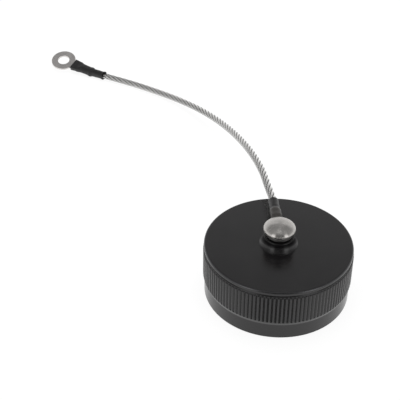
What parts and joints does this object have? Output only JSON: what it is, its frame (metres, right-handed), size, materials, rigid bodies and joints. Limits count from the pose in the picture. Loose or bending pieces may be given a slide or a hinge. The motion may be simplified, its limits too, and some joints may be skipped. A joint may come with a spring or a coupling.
{
  "type": "connector dust cap",
  "caption": "Round screw-on dust cap for a circular connector, with a knurled grip, a domed centre rivet and a swivelling wire rope lanyard that ends in a ring terminal.",
  "frame": {"origin": "on the cap's axis, in the plane of its open rim, which stands on the surface", "axes": "+Z along the cap's axis, out through the rivet; +Y is the side the lanyard leaves on"},
  "size_m": [0.1185, 0.179, 0.0277],
  "materials": {
    "black_anodised": "fine satin black anodising",
    "grey_silicone": "matt moulded silicone rubber",
    "satin_stainless": "satin, lightly tumbled",
    "darkened_terminal": "tin plate, darkened with age",
    "black_shrink_tube": "semi-matt heat-shrink tube",
    "stainless_wire": "bright drawn wire, stranded",
    "plated_terminal": "dull tin plate"
  },
  "bodies": {
    "cap": {"cap_body": "black_anodised", "gasket": "grey_silicone", "rivet": "satin_stainless", "inner_washer": "satin_stainless"},
    "lanyard": {"near_ring_terminal": "darkened_terminal", "near_sleeve": "black_shrink_tube", "wire_rope": "stainless_wire", "far_sleeve": "black_shrink_tube", "far_ring_terminal": "plated_terminal"}
  },
  "joints": [
    {"name": "lanyard_swivel", "type": "hinge", "parent": "cap", "child": "lanyard", "pos_m": [0, 0, 0.02375], "axis": [0, 0, 1], "continuous": true}
  ]
}
